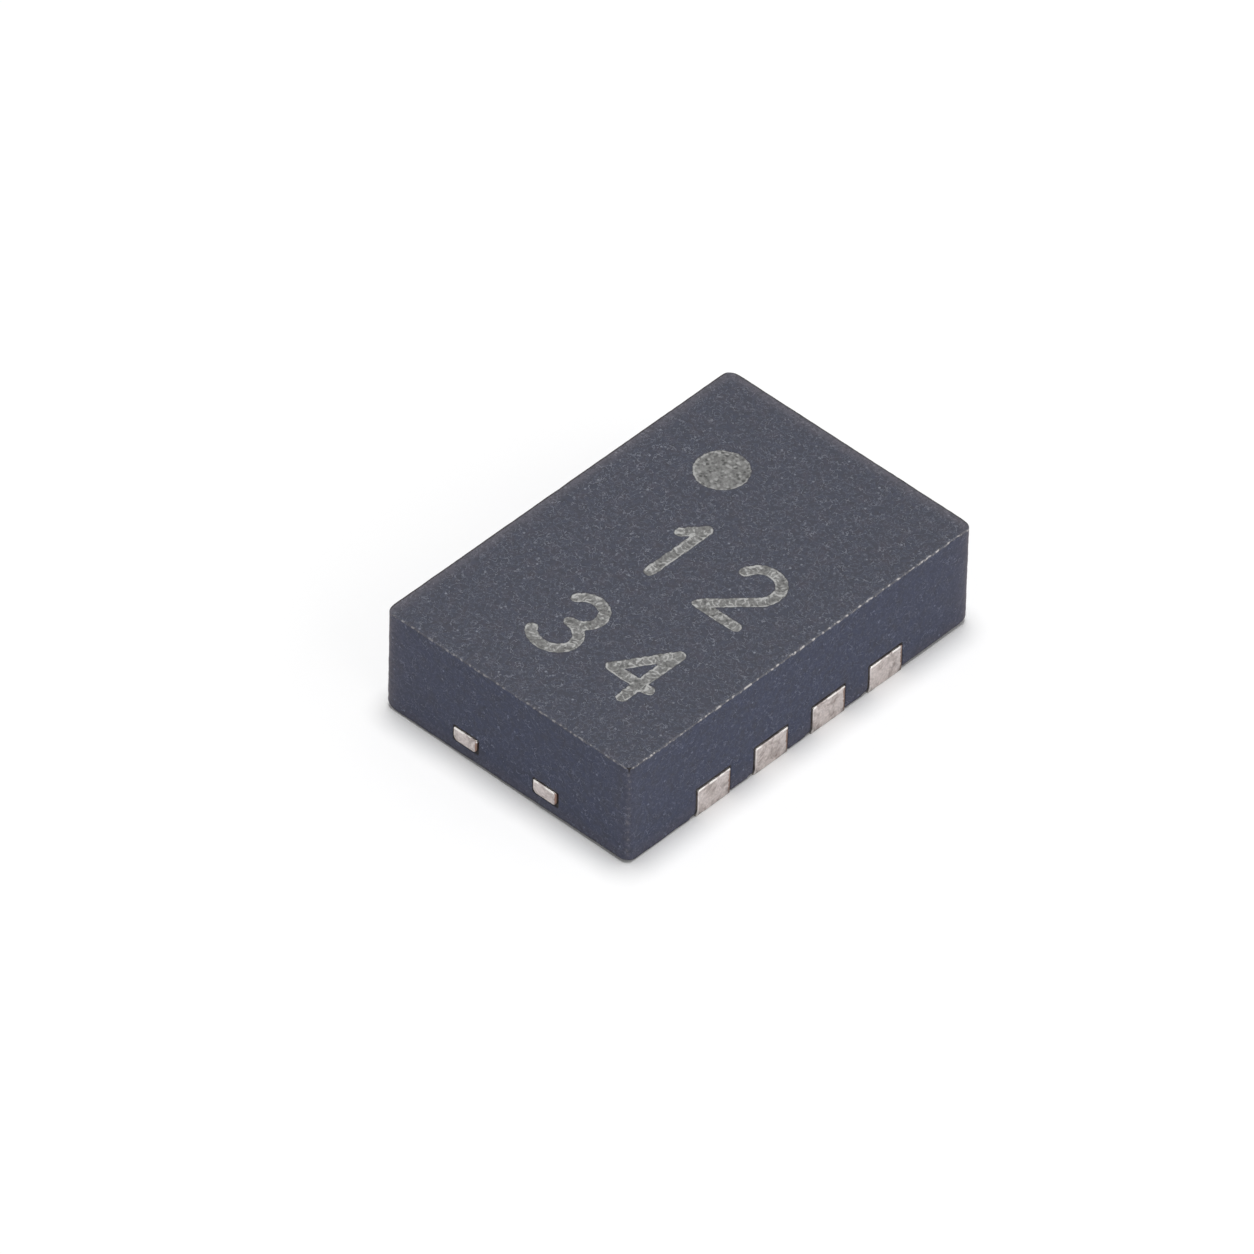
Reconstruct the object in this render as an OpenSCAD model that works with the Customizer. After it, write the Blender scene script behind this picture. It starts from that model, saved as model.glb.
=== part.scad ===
// Dual flat no-lead chip package: a moulded block, saw-cut on four sides, that holds an etched copper
// lead frame, a silicon die and its bond wires. Millimetres.
// Origin on the board plane under the middle of the package. X across the terminal rows, Y along them, Z up.
// Seen from above, terminal 1 is at -X +Y and the numbers run anticlockwise.

/* [Moulded body] */
// Width across the two terminal rows
body_w = 2.0; // [1.85:0.05:3.0]
// Length along the terminal rows
body_l = 3.0; // [2.8:0.05:4.0]
// Height of the moulding itself
body_h = 0.75; // [0.65:0.01:1.0]
// Gap between the board plane and the moulding
standoff = 0.02; // [0.01:0.005:0.05]
// Radius of the worn upper and lower edges
edge_r = 0.015; // [0.005:0.005:0.06]
// Radius of the four upright corners
corner_r = 0.06; // [0.02:0.005:0.12]

/* [Terminal 1 mark] */
// Diameter of the laser dot
mark_d = 0.35; // [0.2:0.01:0.5]
// Depth of the laser dot
mark_depth = 0.012; // [0.005:0.001:0.03]
// Centre of the dot from the side of terminal 1
mark_from_side = 0.59; // [0.3:0.01:0.8]
// Centre of the dot from the end of terminal 1
mark_from_end = 0.7; // [0.3:0.01:1.0]

/* [Lead frame] */
// Thickness of the copper sheet
frame_t = 0.2; // [0.15:0.01:0.25]
// Depth etched away under rims, lips and tie bars
etch_depth = 0.1; // [0.06:0.01:0.12]

/* [Terminals] */
// Terminals in each of the two rows
row_count = 4; // [2:1:5]
// Spacing along a row
terminal_pitch = 0.5; // [0.4:0.05:0.55]
// Width of a terminal
terminal_w = 0.28; // [0.2:0.01:0.32]
// Length of the solder land under a terminal
land_l = 0.4; // [0.3:0.01:0.45]
// Half-etched lip past the inner end of the land
lip_l = 0.06; // [0.02:0.01:0.08]

/* [Die pad] */
// Width of the exposed land
pad_w = 0.64; // [0.5:0.01:0.68]
// Length of the exposed land
pad_l = 2.2; // [1.7:0.05:2.4]
// Corner radius of the exposed land
pad_r = 0.05; // [0.02:0.01:0.1]
// Chamfer of the exposed land at terminal 1
pad_chamfer = 0.2; // [0.1:0.01:0.3]
// Half-etched rim around the exposed land
pad_rim = 0.1; // [0.06:0.01:0.12]
// Width of a tie bar
tie_w = 0.19; // [0.1:0.01:0.2]
// Distance between the two tie bars of one end
tie_spacing = 0.65; // [0.4:0.01:0.7]
// Radius that etching leaves on the lower edges of a tie bar
tie_r = 0.035; // [0.01:0.005:0.04]

/* [Die] */
// Width of the die
die_w = 0.7; // [0.5:0.01:0.76]
// Length of the die
die_l = 1.5; // [1.2:0.05:2.0]
// Thickness of the die
die_t = 0.2; // [0.1:0.01:0.25]
// Thickness of the adhesive layer
attach_t = 0.02; // [0.01:0.005:0.04]
// Adhesive squeezed out past the die
attach_spread = 0.03; // [0.01:0.005:0.035]

/* [Bond wires] */
// Wire diameter
wire_d = 0.025; // [0.018:0.001:0.033]
// Diameter of the squashed ball
ball_d = 0.06; // [0.045:0.005:0.08]
// Height of the squashed ball
ball_h = 0.016; // [0.01:0.002:0.025]
// Centre of a ball from the edges of the die
ball_inset = 0.07; // [0.05:0.01:0.12]
// Height of the wire's crest above the die
loop_h = 0.14; // [0.1:0.01:0.16]
// Bend radius at the crest
loop_r = 0.06; // [0.04:0.005:0.07]
// Stitch on the terminal, from the terminal's inner end
stitch_inset = 0.14; // [0.1:0.01:0.2]
// Length of the flattened stitch
stitch_l = 0.1; // [0.07:0.005:0.12]
// Width of the flattened stitch
stitch_w = 0.05; // [0.04:0.005:0.065]
// Thickness of the flattened stitch
stitch_t = 0.008; // [0.005:0.001:0.012]

/* [Hidden] */
$fn = 64;
terminal_count = 2 * row_count;

mould_colour = "#4e4f5b";
copper_colour = "#c4b8b4";
die_colour = "#5c626c";
adhesive_colour = "#b5b3ab";
wire_colour = "#d8b25c";

// Heights above the board plane
body_top = standoff + body_h;
die_z = frame_t + attach_t;
die_top = die_z + die_t;
etched_t = frame_t - etch_depth;

// The half-etched top of the pad reaches past the exposed land on all sides
pad_top_w = pad_w + 2 * pad_rim;
pad_top_l = pad_l + 2 * pad_rim;

terminal_l = land_l + lip_l;
ball_pitch = (die_l - 2 * ball_inset) / (row_count - 1);

// Terminals run down the -X side and back up the +X side
function side_of(i) = i <= row_count ? -1 : 1;
function place_in_row(i) = i <= row_count ? row_count - i : i - row_count - 1;
function along_row(i, pitch) = (place_in_row(i) - (row_count - 1) / 2) * pitch;

// Where wire i starts on the die and ends on its terminal, seen from above
function ball_at(i) = [side_of(i) * (die_w / 2 - ball_inset), along_row(i, ball_pitch)];
function stitch_at(i) = [
    side_of(i) * (body_w / 2 - terminal_l + stitch_inset),
    along_row(i, terminal_pitch)
];

// Rectangle with round corners, centred
module rounded_rect(w, l, r) {
    square([w - 2 * r, l], center = true);
    square([w, l - 2 * r], center = true);
    for (sx = [-1, 1], sy = [-1, 1])
        translate([sx * (w / 2 - r), sy * (l / 2 - r)])
            circle(r);
}

// Block with every edge rounded: three rounded outlines, one along each axis, meet
module rounded_block(w, l, h, r, upright_r) {
    intersection() {
        linear_extrude(h, center = true)
            rounded_rect(w, l, upright_r);
        rotate([90, 0, 0])
            linear_extrude(2 * l, center = true)
                rounded_rect(w, h, r);
        rotate([90, 0, 90])
            linear_extrude(2 * w, center = true)
                rounded_rect(l, h, r);
    }
}

// Terminal outline from the package face inwards, with a fully round inner end
module terminal_outline(length) {
    translate([0, -terminal_w / 2])
        square([length - terminal_w / 2, terminal_w]);
    translate([length - terminal_w / 2, 0])
        circle(d = terminal_w);
}

// Full-height land, and above the etched depth a lip that locks it into the moulding
module terminal_shape(i) {
    turn = side_of(i) < 0 ? 0 : 180;
    translate([side_of(i) * body_w / 2, along_row(i, terminal_pitch), 0])
        rotate(turn) {
            linear_extrude(frame_t)
                terminal_outline(land_l);
            translate([0, 0, etch_depth])
                linear_extrude(etched_t)
                    terminal_outline(terminal_l);
        }
}

// Exposed land, with the corner next to terminal 1 cut off
module pad_outline() {
    difference() {
        rounded_rect(pad_w, pad_l, pad_r);
        translate([-pad_w / 2, pad_l / 2])
            rotate(45)
                square([pad_chamfer * sqrt(2), pad_chamfer * sqrt(2)], center = true);
    }
}

// Section of a tie bar: flat on top, lower edges rounded by the etching
module tie_section() {
    intersection() {
        rounded_rect(tie_w, 2 * etched_t, tie_r);
        translate([-tie_w / 2, -etched_t])
            square([tie_w, etched_t]);
    }
}

// Tie bars run from one end face of the package to the other, through the rim of the pad
module die_pad_shape() {
    linear_extrude(frame_t)
        pad_outline();
    translate([0, 0, etch_depth])
        linear_extrude(etched_t)
            square([pad_top_w, pad_top_l], center = true);
    for (sx = [-1, 1])
        translate([sx * tie_spacing / 2, 0, frame_t])
            rotate([90, 0, 0])
                linear_extrude(body_l, center = true)
                    tie_section();
}

module die_attach_shape() {
    translate([0, 0, frame_t])
        linear_extrude(attach_t)
            rounded_rect(die_w + 2 * attach_spread, die_l + 2 * attach_spread, attach_spread);
}

module die_shape() {
    translate([-die_w / 2, -die_l / 2, die_z])
        cube([die_w, die_l, die_t]);
}

// Squashed ball with a round flank, and the wire that stands on it up to the bend
module ball_and_riser(rise) {
    rotate_extrude() {
        square([ball_d / 2 - ball_h / 2, ball_h]);
        square([wire_d / 2, rise]);
        intersection() {
            translate([ball_d / 2 - ball_h / 2, ball_h / 2])
                circle(d = ball_h);
            square([ball_d, ball_h]);
        }
    }
}

// Flattened wire end: the lens between two equal arcs
module stitch_outline() {
    arc_r = (pow(stitch_l / 2, 2) + pow(stitch_w / 2, 2)) / stitch_w;
    intersection_for (sy = [-1, 1])
        translate([0, sy * (arc_r - stitch_w / 2)])
            circle(arc_r, $fn = 128);
}

// Bend about the local Z axis, and from its start a straight run along the tangent
module bend_and_run(turn, run) {
    rotate_extrude(angle = turn)
        translate([loop_r, 0])
            circle(d = wire_d);
    translate([loop_r, 0, 0])
        rotate([90, 0, 0])
            cylinder(d = wire_d, h = run);
}

// One wire in the upright plane through its two ends. The straight run leaves the bend along the tangent
// that meets the top of the terminal at the stitch, and is cut off level with it.
module bond_wire_shape(i) {
    from = ball_at(i);
    reach = norm(stitch_at(i) - from);
    heading = atan2(stitch_at(i)[1] - from[1], stitch_at(i)[0] - from[0]);
    bend_z = die_top + loop_h - loop_r;
    to_stitch = [reach - loop_r, frame_t - bend_z];
    leave = atan2(to_stitch[1], to_stitch[0]) + acos(loop_r / norm(to_stitch));
    run_l = sqrt(pow(norm(to_stitch), 2) - pow(loop_r, 2));
    translate([from[0], from[1], 0])
        rotate(heading) {
            translate([0, 0, die_top])
                ball_and_riser(loop_h - loop_r);
            difference() {
                translate([loop_r, 0, bend_z])
                    rotate([90, 0, 0])
                        rotate(leave)
                            bend_and_run(180 - leave, run_l + wire_d * tan(leave));
                translate([0, -ball_d, 0])
                    cube([2 * reach, 2 * ball_d, frame_t]);
            }
            translate([reach, 0, frame_t])
                linear_extrude(stitch_t)
                    stitch_outline();
        }
}

// The compound fills everything inside the block that metal, silicon and adhesive leave free
module mould_body() {
    color(mould_colour)
        difference() {
            translate([0, 0, standoff + body_h / 2])
                rounded_block(body_w, body_l, body_h, edge_r, corner_r);
            die_pad_shape();
            die_attach_shape();
            die_shape();
            for (i = [1:terminal_count]) {
                terminal_shape(i);
                bond_wire_shape(i);
            }
            translate([-body_w / 2 + mark_from_side, body_l / 2 - mark_from_end, body_top - mark_depth])
                cylinder(d = mark_d, h = body_h);
        }
}

module die_pad() {
    color(copper_colour)
        die_pad_shape();
}

module die_attach() {
    color(adhesive_colour)
        die_attach_shape();
}

module silicon_die() {
    color(die_colour)
        die_shape();
}

module terminal(i) {
    color(copper_colour)
        terminal_shape(i);
}

module bond_wire(i) {
    color(wire_colour)
        bond_wire_shape(i);
}

mould_body();
die_pad();
die_attach();
silicon_die();
for (i = [1:terminal_count]) {
    terminal(i);
    bond_wire(i);
}
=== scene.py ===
"""Looks of a dual flat no-lead chip package: moulded body, metal ends, sealed inner pieces and stage.

Lengths are in metres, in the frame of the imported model: X across the two terminal rows, Y along them, Z up,
origin on the board plane under the middle of the package.
"""
import itertools

import bpy
import numpy as np
from bpy.props import FloatProperty, FloatVectorProperty, PointerProperty
from mathutils import Matrix


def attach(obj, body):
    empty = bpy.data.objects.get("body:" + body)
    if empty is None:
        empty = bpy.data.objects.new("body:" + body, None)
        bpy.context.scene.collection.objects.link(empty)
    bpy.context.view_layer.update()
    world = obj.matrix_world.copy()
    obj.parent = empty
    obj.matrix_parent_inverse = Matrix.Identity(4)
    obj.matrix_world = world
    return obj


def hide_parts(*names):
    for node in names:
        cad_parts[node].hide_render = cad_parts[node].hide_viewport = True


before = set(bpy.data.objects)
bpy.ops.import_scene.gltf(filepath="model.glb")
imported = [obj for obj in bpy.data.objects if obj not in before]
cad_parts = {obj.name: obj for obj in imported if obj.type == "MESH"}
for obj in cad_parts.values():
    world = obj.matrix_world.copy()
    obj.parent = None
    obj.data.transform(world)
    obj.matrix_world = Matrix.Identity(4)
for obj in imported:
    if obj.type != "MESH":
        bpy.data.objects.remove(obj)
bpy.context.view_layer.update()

bl_info = {
    "name": "Flat No-Lead Chip Package",
    "version": (1, 0, 0),
    "blender": (4, 5, 0),
    "location": "View3D > Sidebar > Chip",
    "description": "Moulded body, saw-cut metal ends and inner pieces of a flat no-lead chip package",
    "category": "Object",
}

MM = 1e-3
UM = 1e-6
BODY = "root"
# Points closer together than this are one point
WELD = 1e-10
# Points this close to a plane lie in it
IN_PLANE = UM
# Distances past this one look the same to the materials
FAR = 60 * UM
# A recess in the top lies further in than this, and an edge of the block less
EDGE_ZONE = 0.05 * MM


# Places and sizes read from the frame

def points_of(node):
    """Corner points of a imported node's mesh, one a row."""
    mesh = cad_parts[node].data
    flat = np.empty(3 * len(mesh.vertices), np.float32)
    mesh.vertices.foreach_get("co", flat)
    return flat.reshape(-1, 3).astype(float)


def box_of(points):
    """Lowest and highest corner of some points."""
    return np.array([points.min(0), points.max(0)])


def in_plane(points, axis, level):
    """The points at one level of an axis."""
    return points[np.abs(points[:, axis] - level) < IN_PLANE]


def sunk_in_top(points):
    """The points of a recess in the top: below it, but by less than the edge zone, and inside that zone."""
    high = points.max(0)
    depth = high[2] - points[:, 2]
    inside = (np.abs(points[:, :2]) < high[:2] - EDGE_ZONE).all(1)
    return points[inside & (depth > IN_PLANE) & (depth < EDGE_ZONE)]


LEADS = sorted(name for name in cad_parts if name.startswith("terminal_"))
WIRES = sorted(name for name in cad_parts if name.startswith("bond_wire_"))
LEAD_BOXES = {name: box_of(points_of(name)) for name in LEADS}
mould_points = points_of("mould_body")
MOULD_LOW, MOULD_HIGH = box_of(mould_points)
DOT_LOW, DOT_HIGH = box_of(sunk_in_top(mould_points))

# A lead: its whole length and its etched-back foot, width, height, and the height up to which it is etched
lead_points = points_of(LEADS[0])
LEAD_L, LEAD_W, LEAD_H = np.ptp(lead_points, axis=0)
LEAD_FOOT_L = np.ptp(in_plane(lead_points, 2, 0.0)[:, 0])
ETCH_H = in_plane(lead_points, 0, lead_points[:, 0].max())[:, 2].min()

# The pad: exposed land, half-etched rim above it, and the cut ends of the tie bars at the end faces
pad_points = points_of("die_pad")
PAD_HIGH = pad_points.max(0)
LAND_HIGH = in_plane(pad_points, 2, 0.0).max(0)
tie_points = in_plane(pad_points, 1, PAD_HIGH[1])
TIE_LOW, TIE_HIGH = box_of(tie_points[tie_points[:, 0] > 0])
inner_points = pad_points[np.abs(pad_points[:, 1]) < PAD_HIGH[1] - IN_PLANE]
RIM_HIGH = in_plane(inner_points, 2, PAD_HIGH[2]).max(0)


# Settings

def linear(code):
    """Scene-linear red, green and blue of an sRGB hex colour."""
    srgb = np.array([int(code[i:i + 2], 16) for i in (1, 3, 5)]) / 255
    return tuple(np.where(srgb <= 0.04045, srgb / 12.92, ((srgb + 0.055) / 1.055) ** 2.4).tolist())


def length(name, description, default):
    """A length that a user may change."""
    return FloatProperty(name=name, description=description, default=default, min=0, precision=6,
                         unit="LENGTH")


def colour(name, description, default):
    """A colour that a user may change, written as sRGB hex."""
    return FloatVectorProperty(name=name, description=description, default=linear(default), size=3,
                               min=0, max=1, subtype="COLOR")


def angle(name, description, degrees):
    """An angle that a user may change, written in degrees."""
    return FloatProperty(name=name, description=description, default=np.radians(degrees), subtype="ANGLE")


def strength(name, description, default):
    """The strength of a light that a user may change."""
    return FloatProperty(name=name, description=description, default=default, min=0)


class MouldSettings(bpy.types.PropertyGroup):
    """Sizes and colours of the moulded body"""
    edge_radius: length("Edge radius", "Radius of the block's worn upper and lower edges", 0.014 * MM)
    corner_radius: length("Corner radius", "Radius of the block's upright corners", 0.06 * MM)
    set_back: length("Set-back", "How far the saw leaves the compound behind the metal ends", 5 * UM)
    grain: length("Grain height", "Height of the moulded grain", 1.6 * UM)
    groove: length("Groove depth", "Depth of the fine gap round each metal end", 8 * UM)
    lip: length("Lip", "How far the saw draws the compound down along the lower edge", 14 * UM)
    corner_loss: length("Corner loss", "Height broken off the lower end of an upright corner", 24 * UM)
    stroke_w: length("Stroke width", "Width of a laser stroke", 0.076 * MM)
    stroke_d: length("Stroke depth", "Depth of a laser stroke", 7 * UM)
    digit_w: length("Digit width", "Width of a digit along its stroke centres", 0.3 * MM)
    digit_h: length("Digit height", "Height of a digit along its stroke centres", 0.5 * MM)
    top: colour("Top", "Moulded epoxy", "#353845")
    warm: colour("Warm tint", "Moulded epoxy in its browner patches", "#3d3a44")
    cut: colour("Cut side", "Saw-cut epoxy", "#3a3f56")
    grit: colour("Grit", "Silica grains at the moulded surface", "#868a95")
    dust: colour("Dust", "Silica grains opened by the saw", "#7f869d")
    mark: colour("Laser mark", "Epoxy whitened by the laser", "#6b6b6a")
    # Colour of the painted shade in the gap round the metal, in the cracks, along some edges and round the
    # marks
    gap: colour("Gap", "Shaded gap between compound and metal", "#211c1d")
    edge: colour("Worn edge", "Filler laid bare along the edges", "#cbc7c6")
    # Colour of the painted light beside the edges
    edge_light: colour("Rubbed edge", "Epoxy rubbed pale beside the edges", "#716b70")


class MetalSettings(bpy.types.PropertyGroup):
    """Sizes and colours of leads, pad and tie bars"""
    edge_radius: length("Edge radius", "Radius of the cut faces' edges", 4 * UM)
    corner_radius: length("Corner radius", "Radius that etching leaves on a lead's upper corner", 0.014 * MM)
    relief: length("Relief", "Depth of the saw's relief in a cut face", 1.5 * UM)
    flare: length("Foot flare", "How far the saw draws the metal out at a lead's foot", 0.015 * MM)
    tie_radius: length("Tie bar radius", "Radius that etching leaves under a tie bar", 0.035 * MM)
    land_radius: length("Land radius", "Corner radius of the exposed land", 0.05 * MM)
    chamfer: length("Chamfer", "Cut-off corner of the exposed land at terminal 1", 0.2 * MM)
    cut: colour("Cut face", "Copper smeared with tin by the saw", "#cdc4c1")
    shade: colour("Cut face in its hollows", "Duller patches of a cut face", "#8d817c")
    burr_and_highlight: colour("Burr", "Bright edge that the saw leaves", "#efebe7")
    # Colour of the painted highlight along the burr
    copper: colour("Copper", "Bare copper along the trailing edge", "#8f7468")
    smudge: colour("Smudge", "Grey film at the foot", "#7d7774")
    tin: colour("Tin", "Matte plated underside", "#c9c8c5")


class InnerSettings(bpy.types.PropertyGroup):
    """Colours of the sealed pieces"""
    silicon: colour("Silicon", "Polished die", "#5c626c")
    adhesive: colour("Adhesive", "Silver-filled epoxy", "#b5b3ab")
    gold: colour("Gold", "Drawn bond wire", "#d8b25c")


class StageSettings(bpy.types.PropertyGroup):
    """Camera, light and floor"""
    azimuth: angle("Azimuth", "Turn of the camera from the -Y side towards +X", 42.3)
    elevation: angle("Elevation", "Height of the camera over the floor", 42.9)
    roll: angle("Roll", "Turn of the camera about its line of sight", 1.5)
    distance: length("Distance", "From the camera to the origin", 113.1 * MM)
    frame_w: length("Frame width", "Width of the picture at the origin", 7.49 * MM)
    aim_right: length("Origin right of centre", "Place of the origin in the picture", 0.3014 * MM)
    aim_down: length("Origin below centre", "Place of the origin in the picture", 0.2089 * MM)
    fill: strength("Fill", "Strength of the even light from all round", 0.30)
    key: strength("Key", "Strength of the soft lamp overhead", 2.3)
    side: strength("Side", "Strength of the wide low lamp at the right", 0.6)
    lift: strength("Floor lift", "White added to the floor for the eye only", 0.06)
    floor: colour("Floor", "Pale paper", "#fafafa")


# Surfaces

# Factors and shifts that scatter the places of a lattice over all 32-bit numbers
HASH_AXES = np.array([73856093, 19349663, 83492791], np.uint32)
HASH_SEED = 668265263
HASH_ROUNDS = ((15, 0x2C1B3C6D), (12, 0x297A2D39))
HASH_LAST = 15
# Samples over which the spacing of lines is added up
FAN = 4001


def lattice_noise(points, cell, seed):
    """Smooth noise from -1 to 1: a hashed value on every corner of a cubic lattice with that cell size,
    blended between the eight corners round a point with the curve 3t^2 - 2t^3 along each axis."""
    place = points / cell
    base = np.floor(place).astype(np.int64)
    part = place - base
    part = part * part * (3 - 2 * part)
    total = np.zeros(len(points))
    start = np.uint32(seed * HASH_SEED % 2 ** 32)
    for corner in itertools.product((0, 1), repeat=3):
        x, y, z = ((base + corner).astype(np.uint32) * HASH_AXES).T
        mixed = x ^ y ^ z ^ start
        for shift, factor in HASH_ROUNDS:
            mixed = (mixed ^ (mixed >> np.uint32(shift))) * np.uint32(factor)
        mixed = mixed ^ (mixed >> np.uint32(HASH_LAST))
        total += np.where(corner, part, 1 - part).prod(1) * (mixed / 2.0 ** 31 - 1)
    return total


def step_between(value, start, end):
    """0 before start, 1 after end and the curve 3t^2 - 2t^3 between; start may be the larger."""
    t = np.clip((value - start) / (end - start), 0, 1)
    return t * t * (3 - 2 * t)


def lines(low, high, step, marks, fine, reach):
    """Positions from low to high, about a step apart and closer, about fine apart, within reach of each
    mark: equal parts of the integral of 1 / spacing."""
    fan = np.linspace(low, high, FAN)
    near = np.exp(-(np.subtract.outer(fan, marks) / reach) ** 2).max(1)
    density = 1 / (step + (fine - step) * near)
    total = np.concatenate([[0], np.cumsum((density[1:] + density[:-1]) / 2 * np.diff(fan))])
    return np.interp(np.linspace(0, total[-1], int(np.ceil(total[-1])) + 1), total, fan)


def weld(patches):
    """Points, normals and faces of one surface made of grids. A patch is (points, normals), rows by columns,
    whose column direction crossed with its row direction points outwards. Points at one place merge."""
    points = np.concatenate([p.reshape(-1, 3) for p, _ in patches])
    normals = np.concatenate([n.reshape(-1, 3) for _, n in patches])
    places = np.round(points / WELD).astype(np.int64)
    _, first, index = np.unique(places, axis=0, return_index=True, return_inverse=True)
    index = index.ravel()
    quads = []
    start = 0
    for grid, _ in patches:
        at = index[start:start + grid.shape[0] * grid.shape[1]].reshape(grid.shape[:2])
        quads.append(np.stack([at[:-1, :-1], at[:-1, 1:], at[1:, 1:], at[1:, :-1]], -1).reshape(-1, 4))
        start += at.size
    return points[first], normals[first], np.concatenate(quads)


def faces_of(quads):
    """Quads as lists of corners: triangles where one side was lost, and nothing where more were."""
    same = quads == np.roll(quads, -1, axis=1)
    whole = quads[~same.any(1)]
    thin = quads[same.sum(1) == 1]
    kept = thin != np.roll(thin, -1, axis=1)
    return whole.tolist() + thin[kept].reshape(-1, 3).tolist()


def make_piece(name, points, quads, fields, material, slot, replaced):
    """One object at the origin, placed by its mesh. fields are named values or vectors on its points."""
    mesh = bpy.data.meshes.new(name)
    mesh.from_pydata(points.tolist(), [], faces_of(quads))
    mesh.shade_smooth()
    for field, values in fields.items():
        kind, key = ("FLOAT", "value") if values.ndim == 1 else ("FLOAT_VECTOR", "vector")
        mesh.attributes.new(field, kind, "POINT").data.foreach_set(key, values.astype(np.float32).ravel())
    mesh.materials.append(material)
    piece = bpy.data.objects.new(name, mesh)
    bpy.context.scene.collection.objects.link(piece)
    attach(piece, BODY)
    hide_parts(*replaced)


# Laser marks

# Degrees between the points of an arc
ARC_STEP = 10


def arc(middle, radii, start, end):
    """Points along an ellipse from one angle to another, in degrees, one arc step apart."""
    turn = np.radians(np.linspace(start, end, int(abs(end - start) / ARC_STEP) + 1))[:, None]
    return np.array(middle) + np.array(radii) * np.hstack([np.cos(turn), np.sin(turn)])


# Plain counting digits as single strokes. Across from -1 to 1, up from 0 to 1.
DIGITS = {
    "1": np.array([(-0.55, 0.76), (0.15, 1), (0.15, 0)]),
    "2": np.vstack([arc((0, 0.71), (0.95, 0.29), 165, -35), [(-1, 0)], [(1, 0)]]),
    "3": np.vstack([arc((-0.1, 0.76), (0.85, 0.24), 150, -90), arc((-0.1, 0.26), (1, 0.26), 80, -150)]),
    "4": np.array([(0.5, 0), (0.5, 1), (-1, 0.3), (1, 0.3)]),
}
# Middle of each digit's foot on the top face
DIGIT_PLACES = {
    "1": (-0.13 * MM, -0.15 * MM),
    "2": (0.44 * MM, -0.15 * MM),
    "3": (-0.13 * MM, -1.06 * MM),
    "4": (0.45 * MM, -1.06 * MM),
}
# Distance between laser pulses along a stroke, and the count of pulses where there are none
PULSE = 34 * UM
NO_PULSE = -1.0


def stroke_distance(spots, path):
    """Distance of each spot from a path of straight runs, and how far along it the nearest point lies."""
    start, run = path[:-1], np.diff(path, axis=0)
    size = np.linalg.norm(run, axis=1)
    along = np.clip(((spots[:, None] - start) * run).sum(2) / size ** 2, 0, 1)
    away = np.linalg.norm(spots[:, None] - start - along[..., None] * run, axis=2)
    nearest = away.argmin(1)
    row = np.arange(len(spots))
    travelled = np.concatenate([[0], np.cumsum(size)[:-1]]) + along * size
    return away[row, nearest], travelled[row, nearest]


def laser_marks(points, settings):
    """Signed distance of each point from the edge of the marks, less than 0 inside, and the way along a
    stroke counted in pulses, bowed as a parabola by the pulse's own round front. The dot has no pulses."""
    middle = (DOT_LOW + DOT_HIGH)[:2] / 2
    edge = np.linalg.norm(points[:, :2] - middle, axis=1) - (DOT_HIGH - DOT_LOW)[0] / 2
    pulse = np.full(len(points), NO_PULSE)
    half = settings.stroke_w / 2
    scale = np.array([settings.digit_w / 2, settings.digit_h])
    for digit, place in DIGIT_PLACES.items():
        away, along = stroke_distance(points[:, :2], DIGITS[digit] * scale + place)
        count = (along + away ** 2 / (2 * half)) / PULSE
        pulse = np.where(away - half < edge, count, pulse)
        edge = np.minimum(edge, away - half)
    on_top = points[:, 2] > MOULD_HIGH[2] - IN_PLANE
    return np.where(on_top, edge, FAR), pulse


# Moulded body

# Steps round an upright corner, over a rounded edge, from there in to the flat top, and across the underside
CORNER_STEPS = 8
EDGE_STEPS = 5
SHELF_STEPS = 3
FLOOR_RINGS = 9
# Spacing of the grid's lines, their spacing at the edges of the metal, and how far from these it holds
GRID_STEP = 16 * UM
FINE_STEP = 6 * UM
FINE_REACH = 24 * UM


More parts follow.
